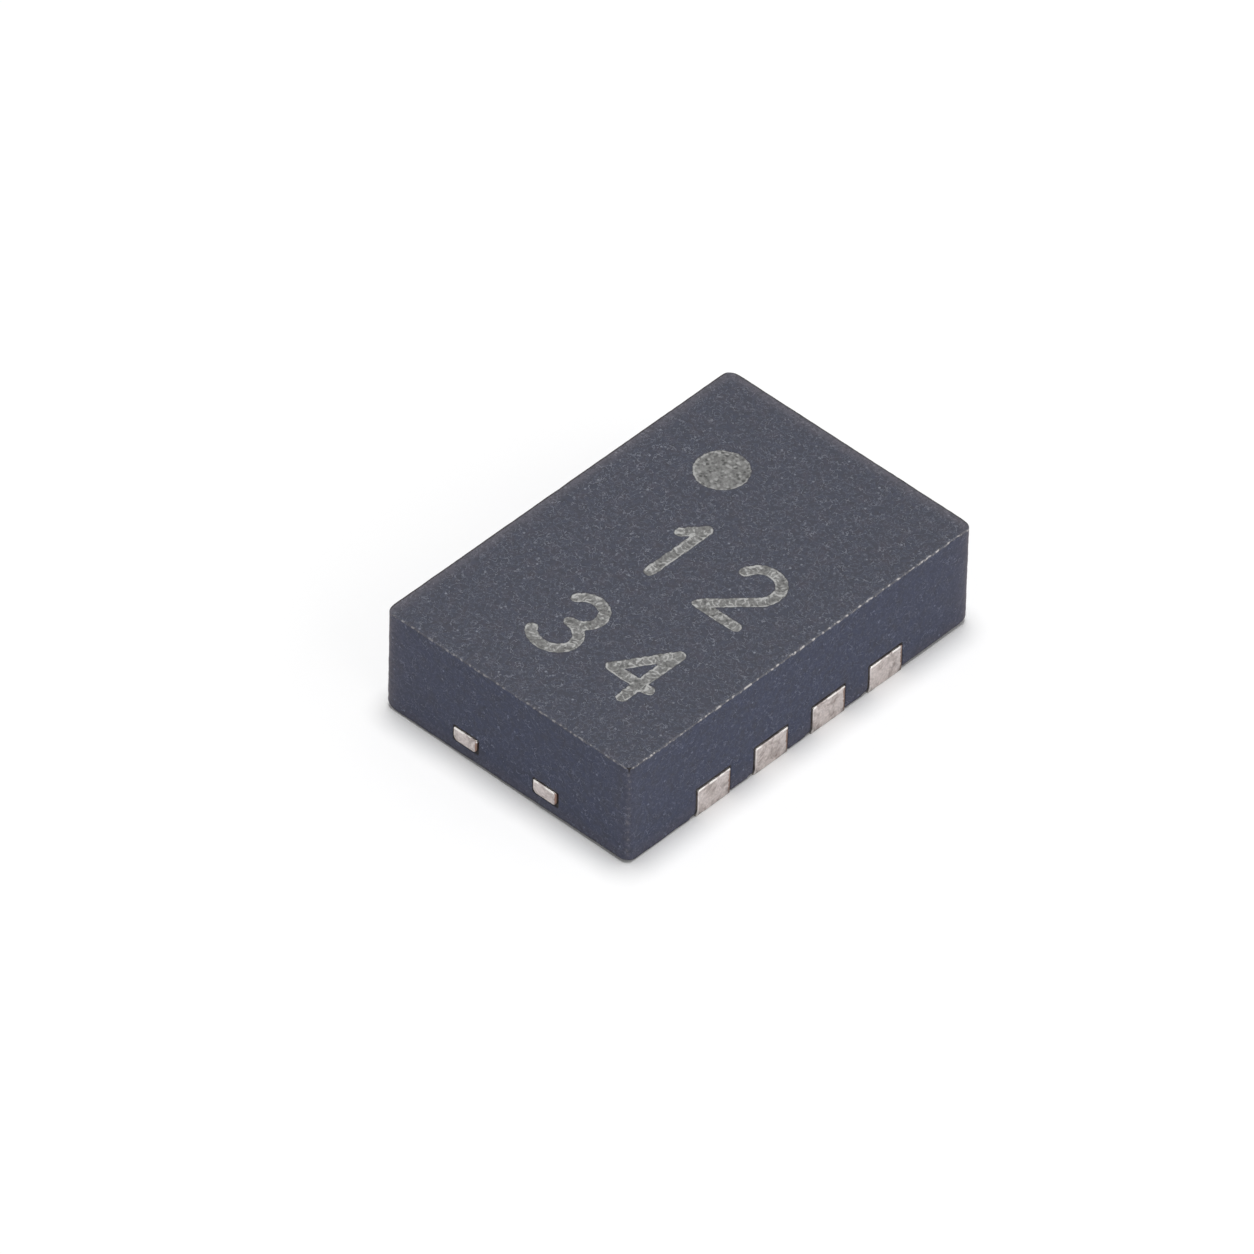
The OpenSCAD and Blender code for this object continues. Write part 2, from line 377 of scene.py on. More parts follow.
def rounded_block(low, high, edge, corner, marks):
    """Block with round edges as rings and a grid. A ring's point is B + c D: B runs round the inner
    rectangle, which is the outline less the corner radius, and waits at each corner while the outward
    direction D turns through a right angle. Going up, (c, z) first widen from the middle line of the
    underside, then follow a quarter circle with the edge radius, the straight side and a second quarter
    circle, and come back flat to c = 0. The top is the grid of the inner rectangle's own lines."""
    half = high[:2] - corner
    xs, ys = (lines(-half[i], half[i], GRID_STEP, marks[i], FINE_STEP, FINE_REACH) for i in (0, 1))
    zs = lines(low[2] + edge, high[2] - edge, GRID_STEP, marks[2], FINE_STEP, FINE_REACH)
    turn = np.linspace(0, 90, CORNER_STEPS + 1)[1:-1]
    sides = [
        np.column_stack([np.full(len(ys), half[0]), ys]),
        np.column_stack([xs[::-1], np.full(len(xs), half[1])]),
        np.column_stack([np.full(len(ys), -half[0]), ys[::-1]]),
        np.column_stack([xs, np.full(len(xs), -half[1])]),
    ]
    waits = [np.vstack([side, np.repeat(side[-1:], len(turn), 0)]) for side in sides]
    turns = [np.r_[np.full(len(side), 90 * k), 90 * k + turn] for k, side in enumerate(sides)]
    base = np.vstack(waits + [sides[0][:1]])
    round_z = np.concatenate(turns + [[360]])
    out = np.column_stack([np.cos(np.radians(round_z)), np.sin(np.radians(round_z)), 0 * round_z])
    up = np.array([0, 0, 1.0])

    quarter = np.radians(np.linspace(0, 90, EDGE_STEPS + 1))
    shelf = np.linspace(1, 0, SHELF_STEPS + 1)[1:]
    tilt = np.concatenate([-quarter[::-1], np.zeros(len(zs) - 2), quarter, np.full(SHELF_STEPS, np.pi / 2)])
    height = np.concatenate([
        low[2] + edge - edge * np.sin(quarter[::-1]),
        zs[1:-1],
        high[2] - edge + edge * np.sin(quarter),
        np.full(SHELF_STEPS, high[2]),
    ])
    reach = corner - edge + edge * np.cos(tilt)
    reach[-SHELF_STEPS:] = (corner - edge) * shelf
    flat = np.column_stack([base, 0 * round_z])
    wall = flat + np.multiply.outer(reach, out) + np.multiply.outer(height, up)[:, None]
    lean = np.multiply.outer(np.cos(tilt), out) + np.multiply.outer(np.sin(tilt), up)[:, None]

    along = np.clip(base[:, 1], half[0] - half[1], half[1] - half[0])
    spine = np.column_stack([0 * round_z, along, 0 * round_z])
    share = 1 - np.linspace(1, 0, FLOOR_RINGS + 1)[:, None, None] ** 2
    under = spine + share * (flat + (corner - edge) * out - spine) + low[2] * up
    top = np.stack([*np.meshgrid(xs, ys), np.full((len(ys), len(xs)), high[2])], -1)
    return [(under, np.broadcast_to(-up, under.shape)), (wall, lean), (top, np.broadcast_to(up, top.shape))]


# A normal's share along an axis from which its point belongs to the side there
FACING = 0.3
# The gap round a lead is wider above it by this much, and runs on below it
GAP_ABOVE = 5 * UM
GAP_BELOW = MM


def box_distance(across, height, low, high):
    """Signed distance from a rectangle, less than 0 inside it."""
    beside = np.maximum(low[0] - across, across - high[0])
    above = np.maximum(low[1] - height, height - high[1])
    gap = np.stack([beside, above])
    return np.linalg.norm(np.maximum(gap, 0), axis=0) + np.minimum(gap.max(0), 0)


def metal_distance(points, normals):
    """Distance of each point of the cut sides from the nearest lead or tie bar end in that side."""
    x, y, z = points.T
    nearest = np.full(len(points), FAR)
    for low, high in LEAD_BOXES.values():
        facing = normals[:, 0] * np.sign(low[0]) > FACING
        away = box_distance(y, z, low[1:] - [0, GAP_BELOW], high[1:] + [0, GAP_ABOVE])
        nearest = np.where(facing, np.minimum(nearest, away), nearest)
    for side in (-1, 1):
        low, high = sorted([side * TIE_LOW[0], side * TIE_HIGH[0]])
        away = box_distance(x, z, (low, TIE_LOW[2]), (high, TIE_HIGH[2]))
        nearest = np.where(np.abs(normals[:, 1]) > FACING, np.minimum(nearest, away), nearest)
    return nearest


def side_gaps(points):
    """Distance of each point from the planes of the four sides."""
    x, y, _ = points.T
    return {"+X": MOULD_HIGH[0] - x, "-X": x - MOULD_LOW[0], "+Y": MOULD_HIGH[1] - y, "-Y": y - MOULD_LOW[1]}


# How much the edges of the top are worn, by the side that they belong to, and the upright corners. Painted
# shade darkens the other two edges of the top.
WORN_TOP = {"+X": 1.0, "-Y": 0.42}
WORN_UPRIGHT = 0.15
# Where wear starts and is full, in edge radii from a sharp edge and in depths of the round from a corner
WORN_TOP_REACH = (1.1, 0.55)
WORN_UPRIGHT_REACH = (1.3, 1.0)


def edge_wear(points, settings):
    """Wear from 0 to 1: falls off from the middle of each rounded edge to its two ends, and on the upright
    corners from their middle outwards."""
    gap = side_gaps(points)
    drop = MOULD_HIGH[2] - points[:, 2]
    worn = np.zeros(len(points))
    for side, weight in WORN_TOP.items():
        away = np.hypot(gap[side], drop) / settings.edge_radius
        worn = np.maximum(worn, weight * step_between(away, *WORN_TOP_REACH))
    depth = settings.corner_radius * (np.sqrt(2) - 1)
    for across, along in itertools.product(("+X", "-X"), ("+Y", "-Y")):
        away = np.hypot(gap[across], gap[along]) / depth
        worn = np.maximum(worn, WORN_UPRIGHT * step_between(away, *WORN_UPRIGHT_REACH))
    return worn


# Added to the distance from an edge, so that its line of painted shade is wider on top and narrower
# underneath
SHADE_LINE_UPPER = -5 * UM
SHADE_LINE_LOWER = 6 * UM


def edge_shade_distance(points):
    """Distance from the edges that get a line of painted shade: two of the top and all four underneath."""
    gap = side_gaps(points)
    drop = MOULD_HIGH[2] - points[:, 2]
    rise = points[:, 2] - MOULD_LOW[2]
    upper = [np.hypot(gap[side], drop) + SHADE_LINE_UPPER for side in gap if side not in WORN_TOP]
    lower = [np.hypot(gap[side], rise) + SHADE_LINE_LOWER for side in gap]
    return np.min(upper + lower, axis=0)


# The cracks: how far inside the round corner and under the top they meet, their ends from there, and what
# is added to the distance from them to make them finer
CRACK_INSET = 2 * UM
CRACK_DROP = 3 * UM
CRACK_ENDS = np.array([(-9, -2, 0), (2, 8, 0), (0, 0, -34)]) * UM
CRACK_FINER = 5 * UM


def crack_distance(points, settings):
    """Distance from the three short cracks that meet at the front corner of the top."""
    inset = settings.corner_radius * (1 - np.sqrt(0.5)) + CRACK_INSET
    corner = np.array([MOULD_HIGH[0] - inset, MOULD_LOW[1] + inset, MOULD_HIGH[2] - CRACK_DROP])
    nearest = np.full(len(points), FAR)
    for run in CRACK_ENDS:
        along = np.clip((points - corner) @ run / (run @ run), 0, 1)
        nearest = np.minimum(nearest, np.linalg.norm(points - corner - along[:, None] * run, axis=1))
    return nearest + CRACK_FINER


# Chips beside the leads' feet: distance from the lead, outer and inner radius of their slope, and depth
CHIP_GAP = 0.03 * MM
CHIP_SLOPE = (40 * UM, 18 * UM)
CHIP_DEPTH = 4 * UM


def foot_chips(points):
    """Depth from 0 to 1 of the chips that the saw breaks out of the lower edge beside each lead's foot."""
    deep = np.zeros(len(points))
    for low, high in LEAD_BOXES.values():
        side = np.sign(low[0])
        beside = (low if side > 0 else high)[1] - side * CHIP_GAP
        away = np.linalg.norm(points - [side * MOULD_HIGH[0], beside, MOULD_LOW[2]], axis=1)
        deep = np.maximum(deep, step_between(away, *CHIP_SLOPE))
    return deep


# How much is broken off the ends of the upright corners, by the signs of x and y there, how far from the
# corner, and the share of it at the upper end
BROKEN = {(-1, -1): 1.0, (1, 1): 1.0, (-1, 1): 0.6}
BROKEN_REACH = (100 * UM, 15 * UM)
BROKEN_UPPER = 0.5


def corner_gap(points):
    """Distance of each point from the nearest upright corner along the side that it lies in, and that
    corner's share of what is broken off."""
    share = np.zeros(len(points))
    for signs, weight in BROKEN.items():
        share = np.where((np.sign(points[:, :2]) == signs).all(1), weight, share)
    return (MOULD_HIGH[:2] - np.abs(points[:, :2])).max(1), share


# The upward share of a normal at which the top ends, and between which a side starts and counts in full
TOPMOST = 0.5
UPRIGHT = (0.95, 0.7)
# Painted light beside the edges, how strong and how far from them: two edges of the top, the lower edges, and
# the upright corners, which are paler where more is broken off and stay faintly pale in a wide reach
EDGE_LIGHT_TOP = 0.35
EDGE_LIGHT_TOP_REACH = 110 * UM
EDGE_LIGHT_LOW = 0.18
EDGE_LIGHT_LOW_REACH = (130 * UM, 20 * UM)
EDGE_LIGHT_CORNER_LEAST = 0.16
EDGE_LIGHT_CORNER_EVEN = 16 * UM
EDGE_LIGHT_CORNER_REACH = 36 * UM
EDGE_LIGHT_WIDE = 0.1
EDGE_LIGHT_WIDE_REACH = 300 * UM


def painted_edge_light(points, normals):
    """Painted light from 0 to 1 beside the edges: a pale sheen along two edges of the top and the upright
    corners, and the lower sides lightened against the shade near the floor. It fades across the top from two
    of its edges, up the sides from the lower edges, and from the upright corners as exp(-d / reach) for a
    near and a wide reach."""
    gap = side_gaps(points)
    inward = np.min([gap[side] for side in gap if side not in WORN_TOP], axis=0)
    top = EDGE_LIGHT_TOP * step_between(inward, EDGE_LIGHT_TOP_REACH, 0) * (normals[:, 2] > TOPMOST)
    upright = step_between(np.abs(normals[:, 2]), *UPRIGHT)
    low = EDGE_LIGHT_LOW * step_between(points[:, 2] - MOULD_LOW[2], *EDGE_LIGHT_LOW_REACH) * upright
    beside, broken = corner_gap(points)
    near = np.exp(-np.maximum(beside - EDGE_LIGHT_CORNER_EVEN, 0) / EDGE_LIGHT_CORNER_REACH)
    wide = EDGE_LIGHT_WIDE * np.exp(-beside / EDGE_LIGHT_WIDE_REACH)
    corner = np.maximum(broken, EDGE_LIGHT_CORNER_LEAST) * (near + wide) * upright
    return np.max([top, low, corner], axis=0)


# The lip: its greatest share, on the long sides, the stretch along which it fades there, how far it fades
# in from a side, along it from a corner and up from below (as the broken corners do), its even share, and
# the share that a chip takes off
LIP_LONG = 1.3
LIP_FADE = (1.4 * MM, 0.2 * MM)
LIP_INWARD = (45 * UM, 10 * UM)
LIP_ENDS = (0, 90 * UM)
LIP_RISE = 60 * UM
LIP_EVEN = 0.85
LIP_CHIPPED = 0.35


def lip_share(points):
    """How long the lip is along the lower edges, seen from outside. On a long side it is even and fades out
    towards the right end; on a short side it grows evenly from nothing at the right to full at the left."""
    x, y, _ = points.T
    long_side = LIP_LONG * step_between(np.sign(x) * y, *LIP_FADE)
    short_side = 0.5 + 0.5 * np.sign(y) * x / MOULD_HIGH[0]
    on_long = MOULD_HIGH[0] - np.abs(x) < MOULD_HIGH[1] - np.abs(y)
    return np.where(on_long, long_side, short_side)


# Cell size and seed of each noise in the moulded body
FINE_GRAIN = (34 * UM, 1)
BROAD_GRAIN = (110 * UM, 2)
SAW_STREAK = (26 * UM, 3)
WORN_CHIP = (42 * UM, 4)
LIP_WAVE = (90 * UM, 5)
# Even, fine and broad share of the grain, and the streaks' share with their stretch and slant upwards
GRAIN_SHARES = (1.2, 0.7, 0.5)
STREAK_SHARE = 0.6
STREAK_STRETCH = (1, 1, 0.25)
STREAK_SLANT = 0.6
# Slope of a stroke's wall, a stroke's even and grainy share, and slope of a groove's wall
STROKE_WALL = (3 * UM, -11 * UM)
STROKE_SHARES = (0.85, 0.3)
GROOVE_WALL = (14 * UM, 2 * UM)
# Depth of the chips in a worn edge, and the levels of noise between which they form
WORN_DEPTH = 4 * UM
WORN_LEVELS = (0.0, 0.7)
# The upward share of a normal between which moulded skin gives way to the cut
SAWN = (0.85, 0.4)


def sunk_depth(points, cut, mark, worn, groove, settings):
    """How deep each point lies under the ideal block: moulded grain all over, the saw's set-back and streaks
    on the sides, laser strokes, grooves at the metal and in the cracks, and chips along the edges."""
    fine = lattice_noise(points, *FINE_GRAIN)
    broad = lattice_noise(points, *BROAD_GRAIN)
    streak = lattice_noise(points * STREAK_STRETCH + points[:, [2, 2, 2]] * STREAK_SLANT, *SAW_STREAK)
    grain = GRAIN_SHARES[0] + GRAIN_SHARES[1] * fine + GRAIN_SHARES[2] * broad
    sawn = cut * (settings.set_back + settings.grain * STREAK_SHARE * streak)
    stroke = step_between(mark, *STROKE_WALL) * (STROKE_SHARES[0] + STROKE_SHARES[1] * fine)
    chips = WORN_DEPTH * worn * step_between(lattice_noise(points, *WORN_CHIP), *WORN_LEVELS)
    chips = chips + CHIP_DEPTH * foot_chips(points)
    grooves = settings.groove * step_between(groove, *GROOVE_WALL)
    return settings.grain * grain + sawn + settings.stroke_d * stroke + grooves + chips


def drawn_down(points, settings):
    """How far each point is moved down. A lip hangs along the lower edge, fading inwards, upwards and
    towards the corners, and the ends of the upright corners are broken off a little."""
    inward, along = np.sort(MOULD_HIGH[:2] - np.abs(points[:, :2]), axis=1).T
    low = step_between(points[:, 2] - MOULD_LOW[2], LIP_RISE, 0)
    high = step_between(MOULD_HIGH[2] - points[:, 2], LIP_RISE, 0)
    lip = step_between(inward, *LIP_INWARD) * step_between(along, *LIP_ENDS) * low * lip_share(points)
    lip = lip * (LIP_EVEN + (1 - LIP_EVEN) * lattice_noise(points, *LIP_WAVE))
    lip = lip * (1 - LIP_CHIPPED * foot_chips(points))
    beside, share = corner_gap(points)
    broken = share * step_between(beside, *BROKEN_REACH) * (low - BROKEN_UPPER * high)
    return settings.lip * lip - settings.corner_loss * broken


def mould_surface(settings):
    """The rounded block, with each point sunk along its normal and drawn down, and what its material reads
    there. Distances for the material are in microns."""
    leads = np.array(list(LEAD_BOXES.values()))
    ties = [side * edge for side in (-1, 1) for edge in (TIE_LOW[0], TIE_HIGH[0])]
    marks = (ties, np.unique(leads[:, :, 1]), [TIE_LOW[2], TIE_HIGH[2]])
    block = rounded_block(MOULD_LOW, MOULD_HIGH, settings.edge_radius, settings.corner_radius, marks)
    points, normals, quads = weld(block)
    cut = step_between(np.abs(normals[:, 2]), *SAWN)
    mark, pulse = laser_marks(points, settings)
    worn = edge_wear(points, settings)
    groove = np.minimum(metal_distance(points, normals), crack_distance(points, settings))
    fields = {
        "mark": np.clip(mark, -FAR, FAR) / UM,
        "pulse": pulse,
        "worn": worn,
        "seam": np.minimum(groove, edge_shade_distance(points)) / UM,
        "cut": cut,
        "rubbed": painted_edge_light(points, normals),
    }
    moved = points - normals * sunk_depth(points, cut, mark, worn, groove, settings)[:, None]
    moved[:, 2] -= drawn_down(points, settings)
    return moved, quads, fields


# Leads, pad and tie bars

# Stations behind a cut face: in edge radii at first, then how many along the bar and in a lead's end
FACE_STEPS = np.array([0, 0.5])
RUN_STATIONS = 6
CAP_STATIONS = 9
# Columns across a bar and rows along the pad, as shares, closer together at both ends
COLUMNS = lines(0, 1, 1 / 20, [0, 1], 1 / 70, 0.08)
PAD_ROWS = lines(-1, 1, 1 / 30, [-1, 1], 1 / 400, 0.05)
# Step between levels, their step at the upper and lower edge, and how far from these it holds
LEVEL_STEP = 13 * UM
LEVEL_FINE = 2 * UM
LEVEL_REACH = 8 * UM
# Height of a lead's flare, and the depth behind the face in which it falls to about a third
FLARE_H = 40 * UM
FLARE_L = 70 * UM
# A lead's right corner in radii of its left, and a tie bar's upper and the pad's lower edge in edge radii
RIGHT_CORNER = 1 / 3
TIE_UPPER_EDGE = 2
PAD_EDGE = 1.5
# Microns from the upper and leading edge at which a burr starts and is full, and how much relief it stops
BURR_UPPER = (14, 4)
BURR_LEADING = (12, 3)
BURR_SHARE = 0.9
# Cell size and seed of the relief's noises, its even, broad and fine share, and its fade in edge radii
BROAD_RELIEF = (40 * UM, 21)
FINE_RELIEF = (15 * UM, 22)
RELIEF_SHARES = (0.5, 0.35, 0.15)
RELIEF_REACH = (1.0, 0.4)


def stacked(levels):
    """Patches of a solid made of levels, each a grid with rows running inwards from the cut face and columns
    across: the levels' outlines make the wall, the first level the underside and the last the top."""
    levels = np.array(levels)
    outline = [levels[:, 0, :], levels[:, 1:, -1], levels[:, -1, -2::-1], levels[:, -2::-1, 0]]
    grids = [levels[0][:, ::-1], np.concatenate(outline, 1), levels[-1]]
    return [(grid, np.zeros_like(grid)) for grid in grids]


def quarter_inset(gap, radius):
    """How far a round edge lies inside its flat face: a quarter circle within a radius of the edge."""
    near = np.clip(radius - gap, 0, radius)
    return radius - np.sqrt(radius ** 2 - near ** 2)


def levels_between(low, high):
    """Heights from low to high, close together at both."""
    return lines(low, high, LEVEL_STEP, [low, high], LEVEL_FINE, LEVEL_REACH)


def bar_level(z, reach, depth, left, right, low, high, edge):
    """One level of a bar in its own frame: depth behind the cut face, place across it, height. The face's
    upper and lower edges are quarter circles, and what these take off the depth fades out along the bar."""
    back = np.maximum(quarter_inset(z - low, edge), quarter_inset(high - z, edge))
    depth = depth + back * (1 - depth / reach)
    across = left[:, None] + (right - left)[:, None] * COLUMNS
    return np.stack([np.broadcast_to(depth[:, None], across.shape), across, np.full(across.shape, z)], -1)


def lead_level(z, reach, settings):
    """One level of a lead. Its half width is that of a strip with a half-circle end, less the round edges
    of the face; its upper corner is round on the left and its foot flares there."""
    half = LEAD_W / 2
    straight = reach - half
    edge = settings.edge_radius
    run = np.linspace(edge, straight, RUN_STATIONS)
    cap = straight + half * np.sin(np.linspace(0, np.pi / 2, CAP_STATIONS))
    depth = np.concatenate([edge * FACE_STEPS, run, cap[1:]])
    width = np.sqrt(np.maximum(half ** 2 - np.clip(depth - straight, 0, half) ** 2, 0))
    width = width - quarter_inset(depth, edge)
    width[-1] = 0
    corner = quarter_inset(LEAD_H - z, settings.corner_radius)
    flare = settings.flare * step_between(z, FLARE_H, 0) * np.exp(-depth / FLARE_L)
    left = -width * (1 - (corner - flare) / half)
    right = width * (1 - quarter_inset(LEAD_H - z, settings.corner_radius * RIGHT_CORNER) / half)
    return bar_level(z, reach, depth, left, right, 0, LEAD_H, edge)


def tie_level(z, reach, settings):
    """One level of a tie bar: a strip whose lower edges are wide quarter circles."""
    edge = settings.edge_radius
    depth = np.concatenate([edge * FACE_STEPS, np.linspace(edge, reach, RUN_STATIONS)])
    width = (TIE_HIGH[0] - TIE_LOW[0]) / 2 - quarter_inset(depth, edge)
    width = width - quarter_inset(z - TIE_LOW[2], settings.tie_radius)
    width = width - quarter_inset(TIE_HIGH[2] - z, TIE_UPPER_EDGE * edge)
    return bar_level(z, reach, depth, -width, width, TIE_LOW[2], TIE_HIGH[2], edge)


def margins(local, half, top):
    """Distances in microns from the left, right and upper edge of a bar's cut face."""
    return np.stack([half + local[:, 1], half - local[:, 1], top - local[:, 2]], 1) / UM


def cut_relief(local, world, settings, half, top):
    """How far the saw sinks each point of a cut face: a shallow uneven hollow, with a burr left along the
    upper and the leading edge. Fades out within one edge radius behind the face."""
    left, _, upper = margins(local, half, top).T
    burr_and_highlight = np.maximum(step_between(upper, *BURR_UPPER), step_between(left, *BURR_LEADING))
    broad = lattice_noise(world, *BROAD_RELIEF)
    fine = lattice_noise(world, *FINE_RELIEF)
    uneven = RELIEF_SHARES[0] + RELIEF_SHARES[1] * broad + RELIEF_SHARES[2] * fine
    on_face = step_between(local[:, 0] / settings.edge_radius, *RELIEF_REACH)
    return settings.relief * on_face * (1 - BURR_SHARE * burr_and_highlight) * uneven


def bar_fields(local, half, top):
    """What the metal's material reads on a bar, in microns."""
    return {"margin": margins(local, half, top), "foot": local[:, 2] / UM}


def lead_surface(box, settings):
    """A lead as stacked levels: the foot up to the etched height, then the longer lip over it. Turned, not
    mirrored, so that depth runs inwards and across runs to the right for someone who faces the cut end."""
    levels = [lead_level(z, LEAD_FOOT_L, settings) for z in levels_between(0, ETCH_H)]
    levels += [lead_level(z, LEAD_L, settings) for z in levels_between(ETCH_H, LEAD_H)]
    local, _, quads = weld(stacked(levels))
    side = np.sign(box[0][0])
    face = side * np.abs(box[:, 0]).max()
    world = np.column_stack([face - side * local[:, 0], box[:, 1].mean() + side * local[:, 1], local[:, 2]])
    world[:, 0] -= side * cut_relief(local, world, settings, LEAD_W / 2, LEAD_H)
    return world, quads, bar_fields(local, LEAD_W / 2, LEAD_H)


def tie_surface(across, side, settings):
    """A tie bar as stacked levels, from the end face that it is cut off in to the rim of the pad."""
    reach = PAD_HIGH[1] - RIM_HIGH[1]
    levels = [tie_level(z, reach, settings) for z in levels_between(TIE_LOW[2], TIE_HIGH[2])]
    local, _, quads = weld(stacked(levels))
    half = (TIE_HIGH[0] - TIE_LOW[0]) / 2
    world = np.column_stack([across - side * local[:, 1], side * (PAD_HIGH[1] - local[:, 0]), local[:, 2]])
    world[:, 1] -= side * cut_relief(local, world, settings, half, TIE_HIGH[2])
    return world, quads, bar_fields(local, half, TIE_HIGH[2])


def pad_level(z, half, end, radius, chamfer, edge):
    """One level of the pad: rows along Y, and across each row from the left to the right edge of an outline
    with three round corners and one cut off. The lower edge is round."""
    inset = quarter_inset(z, edge)
    y = PAD_ROWS * (end - inset)
    bend = quarter_inset(end - inset - np.abs(y), radius) if radius else 0 * y
    bevel = np.maximum(y - (end - chamfer), 0)
    left = inset - half + np.where(y > 0, bevel if chamfer else bend, bend)
    right = half - inset - bend
    across = left[:, None] + (right - left)[:, None] * COLUMNS
    return np.stack([across, np.broadcast_to(y[:, None], across.shape), np.full(across.shape, z)], -1)


def pad_surface(settings):
    """The exposed land up to the etched height, then the wider half-etched rim."""
    edge = PAD_EDGE * settings.edge_radius
    levels = [pad_level(z, LAND_HIGH[0], LAND_HIGH[1], settings.land_radius, settings.chamfer, edge)
              for z in levels_between(0, ETCH_H)]
    levels += [pad_level(z, RIM_HIGH[0], RIM_HIGH[1], 0, 0, edge) for z in (ETCH_H, PAD_HIGH[2])]
    points, _, quads = weld(stacked(levels))
    return points, quads, {"margin": np.full(points.shape, FAR / UM), "foot": points[:, 2] / UM}


def join(surfaces):
    """Several closed surfaces as one set of points, faces and fields."""
    starts = np.cumsum([0] + [len(points) for points, _, _ in surfaces])
    points = np.concatenate([points for points, _, _ in surfaces])
    quads = np.concatenate([quads + start for (_, quads, _), start in zip(surfaces, starts)])
    fields = {key: np.concatenate([f[key] for _, _, f in surfaces]) for key in surfaces[0][2]}
    return points, quads, fields


# Materials

# Sockets of a Mix node for colours
MIX_A, MIX_B, MIX_OUT = 6, 7, 2
# Most values of a noise lie between these
NOISE_RANGE = {"From Min": 0.3, "From Max": 0.7}


def add(tree, kind, out=None, inputs=None, **settings):
    """Adds a node with its settings and with inputs as constants or links, and gives the named output."""
    node = tree.nodes.new("ShaderNode" + kind)
    for key, value in settings.items():
        setattr(node, key, value)
    for key, value in (inputs or {}).items():
        if isinstance(value, bpy.types.NodeSocket):
            tree.links.new(value, node.inputs[key])
        else:
            node.inputs[key].default_value = value
    return node.outputs[out] if out is not None else None


def start_material(name):
    """An empty node material and its tree."""
    material = bpy.data.materials.new(name)
    material.use_nodes = True
    material.node_tree.nodes.clear()
    return material, material.node_tree


def turned_place(tree):
    """Object coordinates, turned so that no face or edge runs along the cells of a noise."""
    place = add(tree, "TexCoord", "Object")
    return add(tree, "Mapping", "Vector", {"Vector": place, "Rotation": (0.5, 0.35, 0.6)})


def toned(rgb, factor=1.0):
    """A colour made lighter or darker, with its alpha."""
    return tuple(min(1.0, c * factor) for c in rgb) + (1.0,)


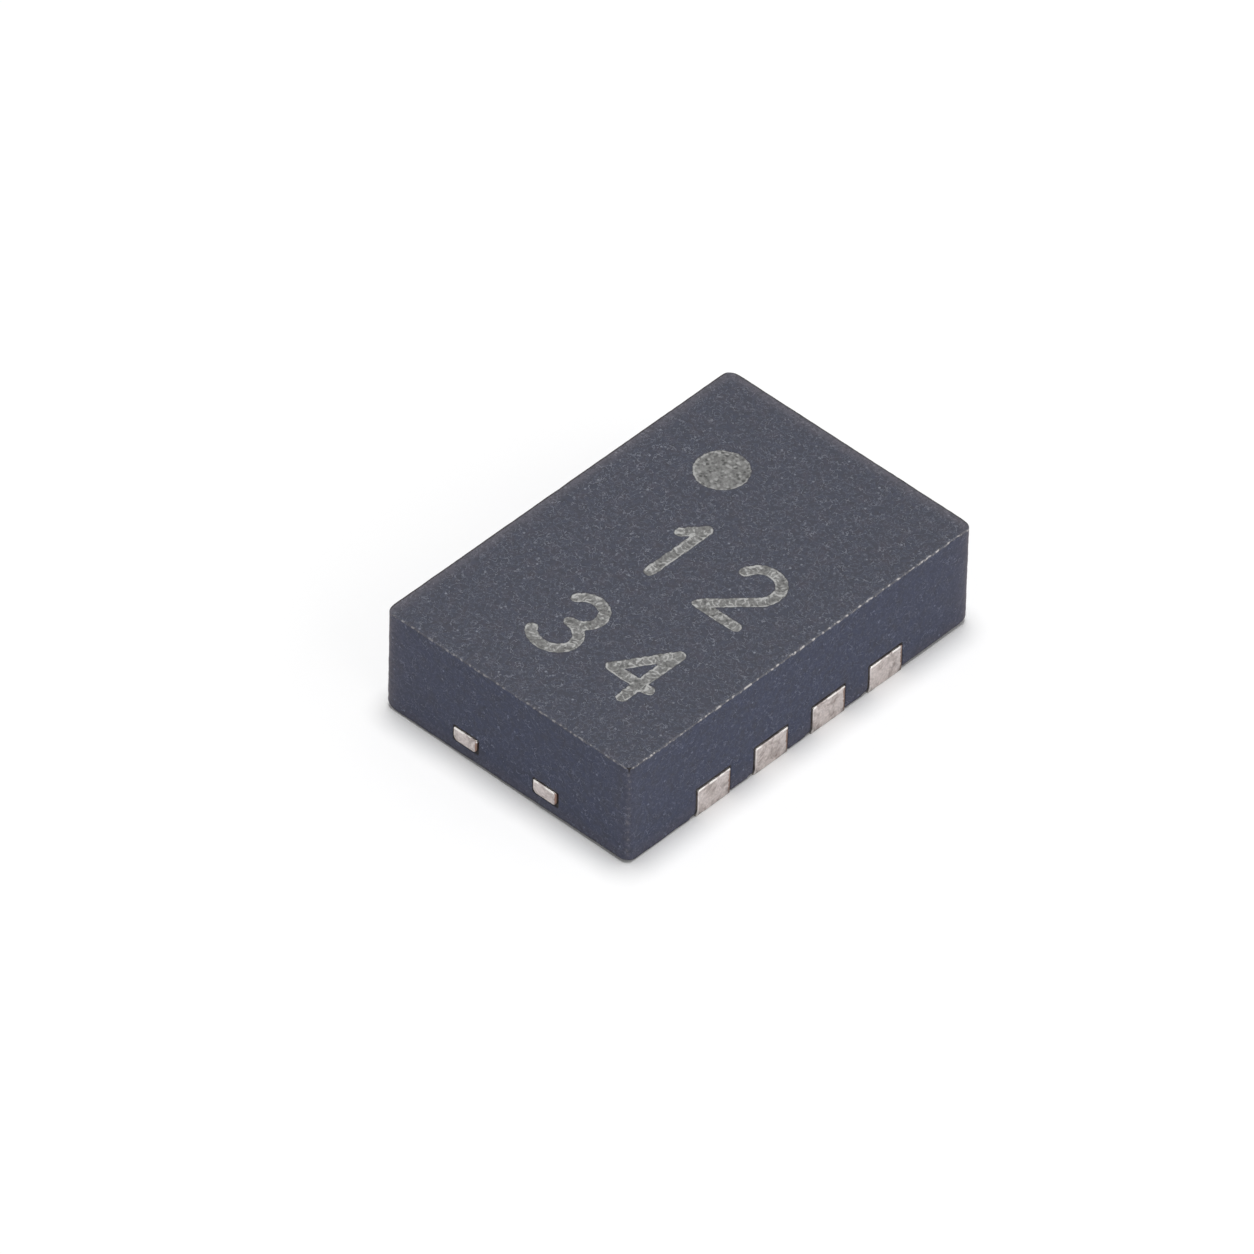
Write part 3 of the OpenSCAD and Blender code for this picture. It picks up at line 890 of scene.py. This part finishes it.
def moulded_epoxy(settings):
    """Epoxy with silica filler, moulded on top and saw-cut at the sides: a matte slate grey, finely gritty,
    that turns bluer where the saw went and chalky where the laser or wear opened it."""
    material, tree = start_material("silica-filled epoxy, moulded and saw-cut")
    place = turned_place(tree)
    cut, mark, pulse, worn, seam, rubbed = (
        add(tree, "Attribute", "Fac", attribute_name=name)
        for name in ("cut", "mark", "pulse", "worn", "seam", "rubbed"))

    # Mottle of filler too fine to show singly, in patches of 24 microns, and a browner tint in patches of 75
    grit = add(tree, "TexNoise", "Fac",
               {"Vector": place, "Scale": 1 / (24 * UM), "Detail": 2.0, "Roughness": 0.6})
    tint = add(tree, "TexNoise", "Fac", {"Vector": place, "Scale": 1 / (75 * UM), "Detail": 2.0})
    warm = add(tree, "MapRange", "Result",
               {"Value": tint, "From Min": 0.45, "From Max": 0.75, "To Max": 0.55})
    moulded = add(tree, "Mix", MIX_OUT, {0: warm, MIX_A: toned(settings.top), MIX_B: toned(settings.warm)},
                  data_type="RGBA")
    sawn = add(tree, "Math", 0, {0: cut, 1: warm}, operation="SUBTRACT", use_clamp=True)
    tinted = add(tree, "Mix", MIX_OUT, {0: sawn, MIX_A: moulded, MIX_B: toned(settings.cut)},
                 data_type="RGBA")
    dim = add(tree, "Math", 0, {0: cut, 1: 0.08, 2: 0.70}, operation="MULTIPLY_ADD")
    lit = add(tree, "Math", 0, {0: cut, 1: -0.08, 2: 1.26}, operation="MULTIPLY_ADD")
    dark = add(tree, "MapRange", "Result", {"Value": grit, **NOISE_RANGE, "To Min": dim, "To Max": lit})

    # Threads of resin skin in places: light lines in curls of 38 microns, and finer ones. Painted shade in a
    # dark line beside each coarse one makes them look raised
    curl = add(tree, "TexNoise", "Fac",
               {"Vector": place, "Scale": 1 / (38 * UM), "Detail": 2.5, "Roughness": 0.55})
    coarse = add(tree, "Math", 0, {0: curl, 1: 0.53, 2: 0.018}, operation="COMPARE")
    beside = add(tree, "Math", 0, {0: curl, 1: 0.48, 2: 0.02}, operation="COMPARE")
    frizz = add(tree, "TexNoise", "Fac", {"Vector": place, "Scale": 1 / (24 * UM), "Detail": 1.0})
    fine = add(tree, "Math", 0, {0: frizz, 1: 0.55, 2: 0.02}, operation="COMPARE")
    some = add(tree, "TexNoise", "Fac", {"Vector": place, "Scale": 1 / (60 * UM), "Detail": 1.0})
    shown = add(tree, "MapRange", "Result",
                {"Value": some, "From Min": 0.36, "From Max": 0.68, "To Max": 0.52})
    rest = add(tree, "MapRange", "Result",
               {"Value": some, "From Min": 0.62, "From Max": 0.36, "To Max": 0.26})
    first = add(tree, "Math", 0, {0: coarse, 1: shown}, operation="MULTIPLY")
    threads = add(tree, "Math", 0, {0: fine, 1: rest, 2: first}, operation="MULTIPLY_ADD")
    hollow = add(tree, "Math", 0, {0: beside, 1: shown}, operation="MULTIPLY")
    hollow_dark = add(tree, "Math", 0, {0: hollow, 1: -0.45, 2: dark}, operation="MULTIPLY_ADD")
    mottled = add(tree, "VectorMath", "Vector", {0: tinted, "Scale": hollow_dark}, operation="SCALE")

    # Single bright grains, one in a few cells of 40 microns
    cells = add(tree, "TexVoronoi", "Distance", {"Vector": place, "Scale": 1 / (40 * UM)})
    chance = add(tree, "SeparateColor", "Red", {"Color": cells.node.outputs["Color"]})
    small = add(tree, "MapRange", "Result", {"Value": cells, "From Min": 0.25, "From Max": 0.12})
    few = add(tree, "MapRange", "Result", {"Value": chance, "From Min": 0.78, "From Max": 1.0, "To Max": 0.8})
    grain = add(tree, "Math", 0, {0: small, 1: few}, operation="MULTIPLY")
    bright = add(tree, "Math", 0, {0: threads, 1: grain}, operation="MAXIMUM")
    shine = add(tree, "Mix", MIX_OUT, {0: cut, MIX_A: toned(settings.grit), MIX_B: toned(settings.dust)},
                data_type="RGBA")
    gritty = add(tree, "Mix", MIX_OUT, {0: bright, MIX_A: mottled, MIX_B: shine}, data_type="RGBA")

    # Painted light: paler and grainy beside the edges, with bare filler in a broken line of 30 microns along
    # the worn ones
    edge_light_grain = add(tree, "MapRange", "Result", {"Value": grit, **NOISE_RANGE, "To Min": 0.35, "To Max": 1.55})
    edge_light_amount = add(tree, "Math", 0, {0: rubbed, 1: edge_light_grain}, operation="MULTIPLY")
    smooth = add(tree, "Mix", MIX_OUT, {0: edge_light_amount, MIX_A: gritty, MIX_B: toned(settings.edge_light)},
                 data_type="RGBA")
    broken = add(tree, "TexNoise", "Fac", {"Vector": place, "Scale": 1 / (30 * UM), "Detail": 1.0})
    bare = add(tree, "MapRange", "Result",
               {"Value": broken, "From Min": 0.53, "From Max": 0.62, "To Min": 0.14, "To Max": 1.0})
    chipped = add(tree, "Math", 0, {0: bare, 1: worn}, operation="MULTIPLY")
    edged = add(tree, "Mix", MIX_OUT, {0: chipped, MIX_A: smooth, MIX_B: toned(settings.edge)},
                data_type="RGBA")

    # Laser marks, chalky in spots of 26 and pits of 22 microns
    spots = add(tree, "TexVoronoi", "Distance", {"Vector": place, "Scale": 1 / (26 * UM)})
    spot = add(tree, "SeparateColor", "Red", {"Color": spots.node.outputs["Color"]})
    round_spot = add(tree, "MapRange", "Result", {"Value": spots, "From Min": 0.55, "From Max": 0.15})
    off = add(tree, "Math", 0, {0: spot, 1: 0.5}, operation="SUBTRACT")
    raised = add(tree, "Math", 0, {0: off, 1: round_spot}, operation="MULTIPLY")
    pits = add(tree, "TexNoise", "Fac",
               {"Vector": place, "Scale": 1 / (22 * UM), "Detail": 2.0, "Roughness": 0.6})
    struck = add(tree, "Math", 0, {0: pulse, 1: NO_PULSE / 2}, operation="GREATER_THAN")
    spottiness = add(tree, "Math", 0, {0: struck, 1: -1.0, 2: 1.5}, operation="MULTIPLY_ADD")
    spotted = add(tree, "Math", 0, {0: raised, 1: spottiness, 2: pits}, operation="MULTIPLY_ADD")
    uneven = add(tree, "Math", 0, {0: some, 1: 0.4, 2: spotted}, operation="MULTIPLY_ADD")
    pit_step = add(tree, "MapRange", "Result", {"Value": uneven, "From Min": 0.43, "From Max": 1.08})
    chalk = add(tree, "Mix", MIX_OUT,
                {0: pit_step, MIX_A: toned(settings.mark, 0.42), MIX_B: toned(settings.mark, 2.1)},
                data_type="RGBA")

    # Thin pale lines at each pulse and along the rim of a mark, broken in patches
    shaken = add(tree, "Math", 0, {0: some, 1: 3.0, 2: pulse}, operation="MULTIPLY_ADD")
    from_pulse = add(tree, "Math", 0, {0: shaken, 1: 0.5}, operation="PINGPONG")
    pulse_line = add(tree, "MapRange", "Result", {"Value": from_pulse, "From Min": 0.2, "From Max": 0.08})
    stroke_line = add(tree, "Math", 0, {0: pulse_line, 1: struck}, operation="MULTIPLY")
    ragged = add(tree, "Math", 0, {0: broken, 1: 16.0, 2: mark}, operation="MULTIPLY_ADD")
    rim_line = add(tree, "MapRange", "Result", {"Value": ragged, "From Min": -6.0, "From Max": -2.0})
    pale = add(tree, "Math", 0, {0: stroke_line, 1: rim_line}, operation="MAXIMUM")
    patchy = add(tree, "Math", 0, {0: some, 1: pits}, operation="ADD")
    strong = add(tree, "MapRange", "Result",
                 {"Value": patchy, "From Min": 0.9, "From Max": 1.14, "To Min": 0.1, "To Max": 0.95})
    weight = add(tree, "Math", 0, {0: struck, 1: 0.35, 2: 0.65}, operation="MULTIPLY_ADD")
    weighted = add(tree, "Math", 0, {0: strong, 1: weight}, operation="MULTIPLY")
    rim = add(tree, "Math", 0, {0: pale, 1: weighted}, operation="MULTIPLY")
    rimmed = add(tree, "Mix", MIX_OUT, {0: rim, MIX_A: chalk, MIX_B: toned(settings.mark, 3.0)},
                 data_type="RGBA")

    # The marks lie over the rest inside a dark outline of painted shade
    inside = add(tree, "MapRange", "Result", {"Value": ragged, "From Min": 9.5, "From Max": 6.5})
    outline_shade = add(tree, "MapRange", "Result",
                {"Value": ragged, "From Min": 17.0, "From Max": 10.0, "To Max": 0.4})
    outlined = add(tree, "Mix", MIX_OUT, {0: outline_shade, MIX_A: edged, MIX_B: toned(settings.gap)},
                   data_type="RGBA")
    marked = add(tree, "Mix", MIX_OUT, {0: inside, MIX_A: outlined, MIX_B: rimmed}, data_type="RGBA")

    # Painted shade: dark in the gap round the metal, in the cracks, along two edges of the top and along the
    # lower edges
    painted_shade_mask = add(tree, "MapRange", "Result", {"Value": seam, "From Min": 17.0, "From Max": 7.0},
                   interpolation_type="SMOOTHSTEP")
    final = add(tree, "Mix", MIX_OUT, {0: painted_shade_mask, MIX_A: marked, MIX_B: toned(settings.gap)},
                data_type="RGBA")

    rough = add(tree, "MapRange", "Result", {"Value": grit, **NOISE_RANGE, "To Min": 0.66, "To Max": 0.82})
    relief = add(tree, "Bump", "Normal", {"Strength": 0.6, "Distance": 1.5 * UM, "Height": grit})
    shader = add(tree, "BsdfPrincipled", "BSDF",
                 {"Base Color": final, "Roughness": rough, "IOR": 1.5, "Normal": relief})
    add(tree, "OutputMaterial", None, {"Surface": shader})
    return material


def sawn_lead_metal(settings):
    """Tin-plated copper, saw-cut at the ends: warm silver where the saw smeared tin over it, a broken burr
    along the upper and leading edge with a painted highlight on it, bare copper along the trailing edge,
    matte tin underneath."""
    material, tree = start_material("tinned copper, saw-cut")
    place = turned_place(tree)
    margin = add(tree, "Attribute", "Vector", attribute_name="margin")
    foot = add(tree, "Attribute", "Fac", attribute_name="foot")
    sides = add(tree, "SeparateXYZ", "X", {"Vector": margin})
    left, right, upper = sides.node.outputs

    # Smear of the saw in patches of 75 microns, with scratches of 16
    patch = add(tree, "TexNoise", "Fac",
                {"Vector": place, "Scale": 1 / (75 * UM), "Detail": 3.0, "Roughness": 0.65,
                 "Distortion": 0.8})
    patch_step = add(tree, "MapRange", "Result", {"Value": patch, "From Min": 0.48, "From Max": 0.76})
    smear = add(tree, "Mix", MIX_OUT,
                {0: patch_step, MIX_A: toned(settings.cut), MIX_B: toned(settings.shade)}, data_type="RGBA")
    scratch = add(tree, "TexNoise", "Fac", {"Vector": place, "Scale": 1 / (16 * UM), "Detail": 2.0})
    scratched = add(tree, "MapRange", "Result",
                    {"Value": scratch, **NOISE_RANGE, "To Min": 0.84, "To Max": 1.14})
    rubbed = add(tree, "VectorMath", "Vector", {0: smear, "Scale": scratched}, operation="SCALE")

    # Bare copper on the trailing edge, grey film at the lower corners, both ragged by a noise of 30 microns
    ragged = add(tree, "TexNoise", "Fac", {"Vector": place, "Scale": 1 / (30 * UM), "Detail": 2.0})
    wobble = add(tree, "Math", 0, {0: ragged, 1: -26.0, 2: right}, operation="MULTIPLY_ADD")
    trailing = add(tree, "MapRange", "Result", {"Value": wobble, "From Min": 3.0, "From Max": -2.0})
    coppery = add(tree, "Mix", MIX_OUT, {0: trailing, MIX_A: rubbed, MIX_B: toned(settings.copper)},
                  data_type="RGBA")
    corner = add(tree, "Math", 0, {0: left, 1: right}, operation="MINIMUM")
    to_corner = add(tree, "Math", 0, {0: corner, 1: foot}, operation="ADD")
    film_edge = add(tree, "Math", 0, {0: ragged, 1: -70.0, 2: to_corner}, operation="MULTIPLY_ADD")
    film = add(tree, "MapRange", "Result",
               {"Value": film_edge, "From Min": 25.0, "From Max": -15.0, "To Max": 0.75})
    filmed = add(tree, "Mix", MIX_OUT, {0: film, MIX_A: coppery, MIX_B: toned(settings.smudge)},
                 data_type="RGBA")

    # Painted highlight on the burr, broken along its length in pieces of 70 microns
    on_top = add(tree, "MapRange", "Result", {"Value": upper, "From Min": 16.0, "From Max": 10.0})
    leading = add(tree, "MapRange", "Result",
                  {"Value": left, "From Min": 14.0, "From Max": 6.0, "To Max": 0.4})
    near_edge = add(tree, "Math", 0, {0: on_top, 1: leading}, operation="MAXIMUM")
    pieces = add(tree, "TexNoise", "Fac", {"Vector": place, "Scale": 1 / (70 * UM), "Detail": 1.0})
    whole = add(tree, "MapRange", "Result", {"Value": pieces, "From Min": 0.4, "From Max": 0.46})
    burr_and_highlight = add(tree, "Math", 0, {0: near_edge, 1: whole}, operation="MULTIPLY")
    bright = add(tree, "Mix", MIX_OUT, {0: burr_and_highlight, MIX_A: filmed, MIX_B: toned(settings.burr_and_highlight)},
                 data_type="RGBA")

    # Matte tin underneath, in grains of 30 microns
    below = add(tree, "MapRange", "Result", {"Value": foot, "From Min": 4.0, "From Max": 1.5})
    tin = add(tree, "Mix", MIX_OUT,
              {0: ragged, MIX_A: toned(settings.tin, 0.7), MIX_B: toned(settings.tin, 1.25)},
              data_type="RGBA")
    final = add(tree, "Mix", MIX_OUT, {0: below, MIX_A: bright, MIX_B: tin}, data_type="RGBA")
    worn = add(tree, "MapRange", "Result", {"Value": patch, **NOISE_RANGE, "To Min": 0.34, "To Max": 0.52})
    rough = add(tree, "Mix", 0, {0: below, 2: worn, 3: 0.55})
    relief = add(tree, "Bump", "Normal", {"Strength": 0.5, "Distance": 1.5 * UM, "Height": patch})
    shader = add(tree, "BsdfPrincipled", "BSDF",
                 {"Base Color": final, "Metallic": 1.0, "Roughness": rough, "Normal": relief})
    add(tree, "OutputMaterial", None, {"Surface": shader})
    return material


def inner_finish(name, rgb, metallic, rough, grain):
    """A sealed piece's finish: its colour and roughness vary a little with a noise of the given grain."""
    material, tree = start_material(name)
    place = add(tree, "TexCoord", "Object")
    noise = add(tree, "TexNoise", "Fac", {"Vector": place, "Scale": 1 / grain, "Detail": 3.0})
    tint = add(tree, "Mix", MIX_OUT, {0: noise, MIX_A: toned(rgb, 0.85), MIX_B: toned(rgb, 1.15)},
               data_type="RGBA")
    worn = add(tree, "MapRange", "Result",
               {"Value": noise, **NOISE_RANGE, "To Min": 0.8 * rough, "To Max": 1.2 * rough})
    shader = add(tree, "BsdfPrincipled", "BSDF",
                 {"Base Color": tint, "Metallic": metallic, "Roughness": worn})
    add(tree, "OutputMaterial", None, {"Surface": shader})
    return material


# Stage

# The floor is wide, and lies just under the board plane
FLOOR_REACH = 500 * MM
FLOOR_DROP = 0.5 * UM
# Width, turn and tilt of the lamps in degrees. The one overhead stands a little behind the object, so that
# the shadow falls towards the camera.
OVERHEAD = (25, 132, 5)
LOW_SIDE = (80, 12, 79)


def seen_directly(tree):
    """1 for rays from the eye, from a reflection or through glass, and 0 for those that carry light."""
    camera = add(tree, "LightPath", "Is Camera Ray")
    rays = camera.node.outputs
    direct = add(tree, "Math", 0, {0: camera, 1: rays["Is Glossy Ray"]}, operation="MAXIMUM")
    return add(tree, "Math", 0, {0: direct, 1: rays["Is Transmission Ray"]}, operation="MAXIMUM")


def pale_paper(settings):
    """Matte white paper: its shading keeps the soft shadow, and a lift for the eye alone whitens the rest."""
    material, tree = start_material("paper, matte white")
    paper = add(tree, "BsdfDiffuse", "BSDF", {"Color": toned(settings.floor)})
    lift = add(tree, "Math", 0, {0: seen_directly(tree), 1: settings.lift}, operation="MULTIPLY")
    glow = add(tree, "Emission", "Emission", {"Strength": lift})
    both = add(tree, "AddShader", "Shader", {0: paper, 1: glow})
    add(tree, "OutputMaterial", None, {"Surface": both})
    return material


def even_light(settings):
    """White all round to the eye, and an even fill to everything that it lights."""
    world = bpy.data.worlds.new("even studio light")
    world.use_nodes = True
    world.node_tree.nodes.clear()
    tree = world.node_tree
    level = add(tree, "MapRange", "Result",
                {"Value": seen_directly(tree), "To Min": settings.fill, "To Max": 1.0})
    light = add(tree, "Background", "Background", {"Strength": level})
    add(tree, "OutputWorld", None, {"Surface": light})
    return world


def paper_floor(settings):
    """One wide square."""
    signs = ((-1, -1), (1, -1), (1, 1), (-1, 1))
    corners = [(x * FLOOR_REACH, y * FLOOR_REACH, -FLOOR_DROP) for x, y in signs]
    mesh = bpy.data.meshes.new("floor")
    mesh.from_pydata(corners, [], [(0, 1, 2, 3)])
    mesh.materials.append(pale_paper(settings))
    return bpy.data.objects.new("floor", mesh)


def soft_lamp(name, energy, width, turn, tilt):
    """A sun that is some degrees wide, tilted from overhead and turned about Z."""
    lamp = bpy.data.lights.new(name, "SUN")
    lamp.energy = energy
    lamp.angle = np.radians(width)
    holder = bpy.data.objects.new(name, lamp)
    holder.rotation_euler = (0, np.radians(tilt), np.radians(turn))
    return holder


def view_camera(settings):
    """A camera turned about Z, raised over the floor and rolled about its line of sight, and moved in its
    own plane until the origin comes to its place in the picture."""
    turn, rise, roll = settings.azimuth, settings.elevation, settings.roll
    back = np.array([np.sin(turn) * np.cos(rise), -np.cos(turn) * np.cos(rise), np.sin(rise)])
    level = np.array([np.cos(turn), np.sin(turn), 0])
    upward = np.cross(back, level)
    right = np.cos(roll) * level + np.sin(roll) * upward
    up = -np.sin(roll) * level + np.cos(roll) * upward
    spot = back * settings.distance - right * settings.aim_right + up * settings.aim_down
    lens = bpy.data.cameras.new("camera")
    lens.lens = lens.sensor_width * settings.distance / settings.frame_w
    lens.clip_start = MM
    camera = bpy.data.objects.new("camera", lens)
    place = np.vstack([np.column_stack([right, up, back, spot]), [0, 0, 0, 1]])
    camera.matrix_world = Matrix(place.tolist())
    return camera


# Operators

class CHIP_OT_mould(bpy.types.Operator):
    """Makes the moulded body with its laser marks, worn edges and cut sides"""
    bl_idname = "chip.mould"
    bl_label = "Moulded body"

    def execute(self, context):
        settings = context.scene.chip_mould
        surface = mould_surface(settings)
        make_piece("moulded_body", *surface, moulded_epoxy(settings), "mould_compound", ["mould_body"])
        return {"FINISHED"}


class CHIP_OT_metal(bpy.types.Operator):
    """Makes the eight leads, and the pad with its tie bars"""
    bl_idname = "chip.metal"
    bl_label = "Leads, pad and tie bars"

    def execute(self, context):
        settings = context.scene.chip_metal
        material = sawn_lead_metal(settings)
        for number, name in enumerate(LEADS, 1):
            surface = lead_surface(LEAD_BOXES[name], settings)
            make_piece(f"lead_{number}", *surface, material, "plated_copper", [name])
        middle = (TIE_LOW[0] + TIE_HIGH[0]) / 2
        ties = [tie_surface(x, side, settings) for x in (-middle, middle) for side in (-1, 1)]
        pad = join([pad_surface(settings)] + ties)
        make_piece("pad_with_tie_bars", *pad, material, "plated_copper", ["die_pad"])
        return {"FINISHED"}


class CHIP_OT_inner(bpy.types.Operator):
    """Gives the sealed die, adhesive and wires their finishes"""
    bl_idname = "chip.inner"
    bl_label = "Die, adhesive and wires"

    def execute(self, context):
        settings = context.scene.chip_inner
        # Polished silicon mirrors with a blue cast, the adhesive glints with silver, drawn gold is smooth
        silicon = inner_finish("silicon, polished", settings.silicon, 0.6, 0.18, 90 * UM)
        adhesive = inner_finish("silver-filled epoxy, cured", settings.adhesive, 0.4, 0.55, 12 * UM)
        gold = inner_finish("gold wire, drawn", settings.gold, 1.0, 0.22, 20 * UM)
        finishes = {"silicon_die": (silicon, "silicon"), "die_attach": (adhesive, "die_adhesive")}
        finishes.update({name: (gold, "bond_wire") for name in WIRES})
        for name, (material, slot) in finishes.items():
            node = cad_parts[name]
            node.data.materials.clear()
            node.data.materials.append(material)
        return {"FINISHED"}


class CHIP_OT_stage(bpy.types.Operator):
    """Makes the floor, the soft light and the camera"""
    bl_idname = "chip.stage"
    bl_label = "Stage"

    def execute(self, context):
        scene = context.scene
        settings = scene.chip_stage
        scene.view_settings.view_transform = "Standard"
        scene.world = even_light(settings)
        floor = paper_floor(settings)
        camera = view_camera(settings)
        lamps = [soft_lamp("soft lamp overhead", settings.key, *OVERHEAD),
                 soft_lamp("wide low lamp", settings.side, *LOW_SIDE)]
        for item in [floor, *lamps, camera]:
            scene.collection.objects.link(item)
        scene.camera = camera
        return {"FINISHED"}


class CHIP_PT_panel(bpy.types.Panel):
    """Lists the pieces of the chip package"""
    bl_idname = "CHIP_PT_panel"
    bl_label = "Flat no-lead chip"
    bl_space_type = "VIEW_3D"
    bl_region_type = "UI"
    bl_category = "Chip"

    def draw(self, context):
        for group, (_, operator) in GROUPS.items():
            box = self.layout.box()
            box.operator(operator.bl_idname)
            settings = getattr(context.scene, group)
            for name in settings.__annotations__:
                box.prop(settings, name)


# Settings on the scene, by name, with the operator that reads them
GROUPS = {
    "chip_stage": (StageSettings, CHIP_OT_stage),
    "chip_mould": (MouldSettings, CHIP_OT_mould),
    "chip_metal": (MetalSettings, CHIP_OT_metal),
    "chip_inner": (InnerSettings, CHIP_OT_inner),
}


def register():
    """Adds the settings, the operators and the panel."""
    for group, (settings, operator) in GROUPS.items():
        bpy.utils.register_class(settings)
        setattr(bpy.types.Scene, group, PointerProperty(type=settings))
        bpy.utils.register_class(operator)
    bpy.utils.register_class(CHIP_PT_panel)


def unregister():
    """Takes away what register adds."""
    bpy.utils.unregister_class(CHIP_PT_panel)
    for group, (settings, operator) in GROUPS.items():
        bpy.utils.unregister_class(operator)
        delattr(bpy.types.Scene, group)
        bpy.utils.unregister_class(settings)


def main():
    """Makes stage and pieces."""
    register()
    bpy.ops.chip.stage()
    bpy.ops.chip.mould()
    bpy.ops.chip.metal()
    bpy.ops.chip.inner()


if __name__ == "__main__":
    main()
